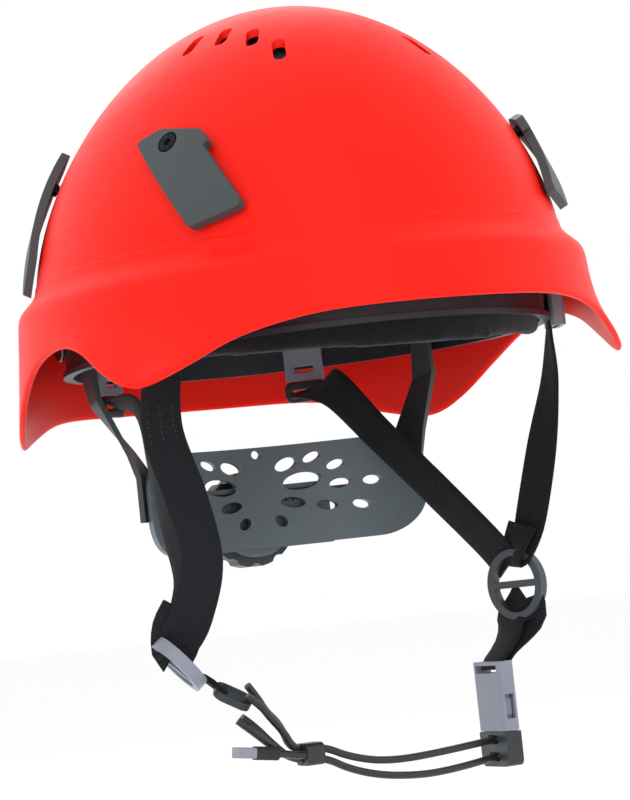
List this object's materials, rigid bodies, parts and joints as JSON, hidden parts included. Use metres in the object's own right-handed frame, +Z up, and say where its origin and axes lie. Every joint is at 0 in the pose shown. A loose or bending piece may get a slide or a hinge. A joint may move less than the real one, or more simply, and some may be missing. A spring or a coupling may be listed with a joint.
{
  "type": "climbing helmet",
  "caption": "Red arborist climbing helmet with four headlamp clips, webbing chin strap with elastic cords and buckle, and ratchet nape cradle.",
  "frame": {"origin": "middle of the headband at the height of the brow edge, where the head sits", "axes": "-Y to the front, +X to the wearer's left, +Z up through the crown"},
  "size_m": [0.2156, 0.2807, 0.3092],
  "materials": {
    "shell_abs": "smooth moulded, satin gloss",
    "liner_foam": "moulded bead foam",
    "headband_plastic": "moulded, fine grain",
    "pad_fabric": "textured knit over foam",
    "webbing": "plain woven polyester",
    "clip_plastic": "moulded, matt",
    "steel": "plain zinc-plated",
    "elastic_cord": "smooth braided",
    "sleeve_rubber": "moulded",
    "cradle_plastic": "moulded, satin",
    "dark_plastic": "moulded, satin",
    "grey_plastic": "moulded, satin"
  },
  "bodies": {
    "helmet": {"brow_pad": "pad_fabric", "buckle_socket": "grey_plastic", "chin_cord_lower": "elastic_cord", "chin_cord_upper": "elastic_cord", "clip_screw_front_left": "steel", "clip_screw_front_right": "steel", "clip_screw_rear_left": "steel", "clip_screw_rear_right": "steel", "cord_keeper": "dark_plastic", "crown_liner": "liner_foam", "crown_strap_long": "webbing", "crown_strap_side": "webbing", "divider_left": "grey_plastic", "divider_right": "grey_plastic", "front_anchor_left": "grey_plastic", "front_anchor_right": "grey_plastic", "headband": "headband_plastic", "loop_cord_1": "elastic_cord", "loop_cord_2": "elastic_cord", "loop_cord_3": "elastic_cord", "loop_cord_4": "elastic_cord", "loop_plate": "dark_plastic", "pivot_pin_left": "steel", "pivot_pin_right": "steel", "pull_cord": "elastic_cord", "pull_sleeve": "sleeve_rubber", "pull_tip": "grey_plastic", "rear_anchor_left": "grey_plastic", "rear_anchor_right": "grey_plastic", "rear_tab_left": "dark_plastic", "rear_tab_right": "dark_plastic", "shell": "shell_abs", "strap_front_left": "webbing", "strap_front_right": "webbing", "strap_lower_left": "webbing", "strap_lower_right": "webbing", "strap_rear_left": "webbing", "strap_rear_right": "webbing", "suspension_keys": "grey_plastic"},
    "nape_unit": {"hanger_arm_left": "cradle_plastic", "hanger_arm_right": "cradle_plastic", "nape_cradle": "cradle_plastic", "ratchet_housing": "cradle_plastic"},
    "knob": {"ratchet_knob": "dark_plastic", "drive_pinion": "dark_plastic"},
    "left_rack": {"rack_left": "dark_plastic"},
    "right_rack": {"rack_right": "dark_plastic"},
    "plug": {"buckle_plug": "grey_plastic"},
    "front_prong": {"prong_front": "grey_plastic"},
    "rear_prong": {"prong_rear": "grey_plastic"},
    "clip_front_left": {"lamp_clip_front_left": "clip_plastic"},
    "clip_front_right": {"lamp_clip_front_right": "clip_plastic"},
    "clip_rear_left": {"lamp_clip_rear_left": "clip_plastic"},
    "clip_rear_right": {"lamp_clip_rear_right": "clip_plastic"}
  },
  "joints": [
    {"name": "nape_swing", "type": "hinge", "parent": "helmet", "child": "nape_unit", "pos_m": [0, 0.044, 0.006], "axis": [1, 0, 0], "range_deg": [-2, 10]},
    {"name": "ratchet_turn", "type": "hinge", "parent": "nape_unit", "child": "knob", "pos_m": [0, 0.06, -0.068], "axis": [0, 1, 0], "range_deg": [-120, 120]},
    {"name": "rack_left_slide", "type": "hinge", "parent": "nape_unit", "child": "left_rack", "pos_m": [0, -0.02, -0.06], "axis": [0, 0, 1], "range_deg": [-9, 9]},
    {"name": "rack_right_slide", "type": "hinge", "parent": "nape_unit", "child": "right_rack", "pos_m": [0, -0.02, -0.076], "axis": [0, 0, 1], "range_deg": [-9, 9]},
    {"name": "buckle_release", "type": "slide", "parent": "helmet", "child": "plug", "axis": [0, 0, -1], "range_m": [0, 0.025], "deforming": ["chin_cord_upper", "chin_cord_lower"]},
    {"name": "prong_front_squeeze", "type": "hinge", "parent": "plug", "child": "front_prong", "pos_m": [0.0575, -0.0305, -0.163], "axis": [-1, 0, 0], "range_deg": [0, 6], "stiffness_Nm_per_rad": 1.4},
    {"name": "prong_rear_squeeze", "type": "hinge", "parent": "plug", "child": "rear_prong", "pos_m": [0.0575, -0.0155, -0.163], "axis": [1, 0, 0], "range_deg": [0, 6], "stiffness_Nm_per_rad": 1.4},
    {"name": "clip_lift_front_left", "type": "hinge", "parent": "helmet", "child": "clip_front_left", "pos_m": [0.07473, -0.06444, 0.07063], "axis": [-0.6173, -0.5485, 0.5639], "range_deg": [0, 5], "stiffness_Nm_per_rad": 2},
    {"name": "clip_lift_front_right", "type": "hinge", "parent": "helmet", "child": "clip_front_right", "pos_m": [-0.07472, -0.06446, 0.07064], "axis": [-0.6218, 0.5462, -0.5612], "range_deg": [0, 5], "stiffness_Nm_per_rad": 2},
    {"name": "clip_lift_rear_left", "type": "hinge", "parent": "helmet", "child": "clip_rear_left", "pos_m": [0.07861, 0.05347, 0.07266], "axis": [0.179, -0.9208, 0.3465], "range_deg": [0, 5], "stiffness_Nm_per_rad": 2},
    {"name": "clip_lift_rear_right", "type": "hinge", "parent": "helmet", "child": "clip_rear_right", "pos_m": [-0.07862, 0.05345, 0.07266], "axis": [0.1744, 0.9227, -0.3438], "range_deg": [0, 5], "stiffness_Nm_per_rad": 2}
  ],
  "couplings": [
    {"joint": "rack_left_slide", "follows": "ratchet_turn", "ratio": -0.07214},
    {"joint": "rack_right_slide", "follows": "ratchet_turn", "ratio": 0.07214}
  ]
}
